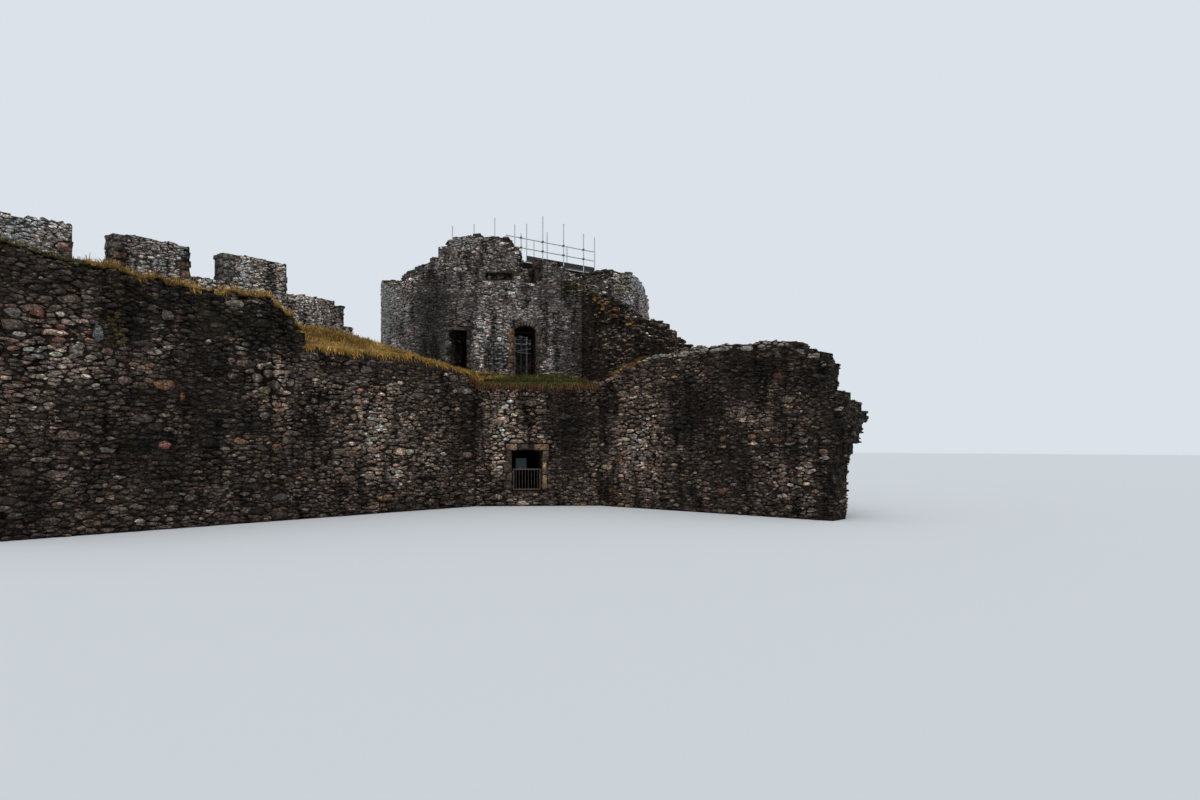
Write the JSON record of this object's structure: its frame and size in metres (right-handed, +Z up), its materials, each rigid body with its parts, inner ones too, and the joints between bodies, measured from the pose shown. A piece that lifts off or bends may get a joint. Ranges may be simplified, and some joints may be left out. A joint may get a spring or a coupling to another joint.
{
  "type": "ruined round corner keep with two curtain walls",
  "caption": "Ruined round masonry keep at the corner of two broken curtain walls, hollow and open above, with a barred gate at its entrance and tube scaffold inside.",
  "frame": {"origin": "axis of the round keep at the lowest ground level, on the underside of the ground floor", "axes": "+X east along the north curtain, +Y north (the west curtain runs south along -Y), +Z up"},
  "size_m": [23.3321, 27.29, 13.37],
  "materials": {
    "rubble_masonry": "lichened random rubble, matte",
    "rubble_core": "broken rubble and lime core, matte",
    "dressed_stone": "weathered dressed sandstone, matte",
    "earth_capping": "earth and moss capping over rubble, matte",
    "floor_timber": "weathered sawn oak, matte",
    "scaffold_boards": "weathered sawn softwood, matte",
    "scaffold_toe_boards": "dark stained softwood, matte",
    "galvanised_tube": "hot-dip galvanised steel, dull",
    "wrought_iron": "black painted wrought iron, lightly rusted",
    "notice_plate": "pale enamelled sheet, blank"
  },
  "bodies": {
    "keep": {"ground_floor": "earth_capping", "entrance_step": "rubble_masonry", "lower_wall_east": "rubble_masonry", "lower_wall_northeast": "rubble_masonry", "lower_wall_north": "rubble_masonry", "lower_wall_west": "rubble_masonry", "lower_wall_southwest": "rubble_masonry", "lower_wall_south": "rubble_masonry", "lower_wall_over_door": "rubble_masonry", "upper_wall_east": "rubble_masonry", "upper_wall_northeast": "rubble_masonry", "upper_wall_north": "rubble_masonry", "upper_wall_west": "rubble_masonry", "upper_wall_southwest": "rubble_masonry", "upper_wall_pier": "rubble_masonry", "upper_wall_over_door": "rubble_masonry", "upper_wall_over_walk_door": "rubble_masonry", "upper_door_arch": "dressed_stone", "walk_door_slab": "dressed_stone", "first_floor_joists": "floor_timber", "first_floor_boards": "floor_timber", "corner_wall_left": "rubble_masonry", "corner_wall_right": "rubble_masonry", "corner_wall_over_door": "rubble_masonry", "earth_terraces": "earth_capping", "entrance_lintel": "dressed_stone", "west_inner_leaf": "rubble_masonry", "west_core": "rubble_core", "west_parapet": "rubble_masonry", "merlons": "rubble_masonry", "north_inner_leaf": "rubble_masonry", "north_core": "rubble_core", "north_outer_leaf": "rubble_masonry", "upper_grille": "wrought_iron", "gate_pintles": "wrought_iron", "scaffold_base_plates": "galvanised_tube", "scaffold_standards": "galvanised_tube", "scaffold_ledgers": "galvanised_tube", "scaffold_transoms": "galvanised_tube", "scaffold_guard_rails": "galvanised_tube", "scaffold_deck": "scaffold_boards", "scaffold_toe_boards": "scaffold_toe_boards"},
    "gate": {"gate_frame": "wrought_iron", "gate_bars": "wrought_iron", "notice_plate": "notice_plate"}
  },
  "joints": [
    {"name": "gate_hinge", "type": "hinge", "parent": "keep", "child": "gate", "pos_m": [5.07364, -4.94915, 0.6], "axis": [0, 0, 1], "range_deg": [0, 90]}
  ]
}
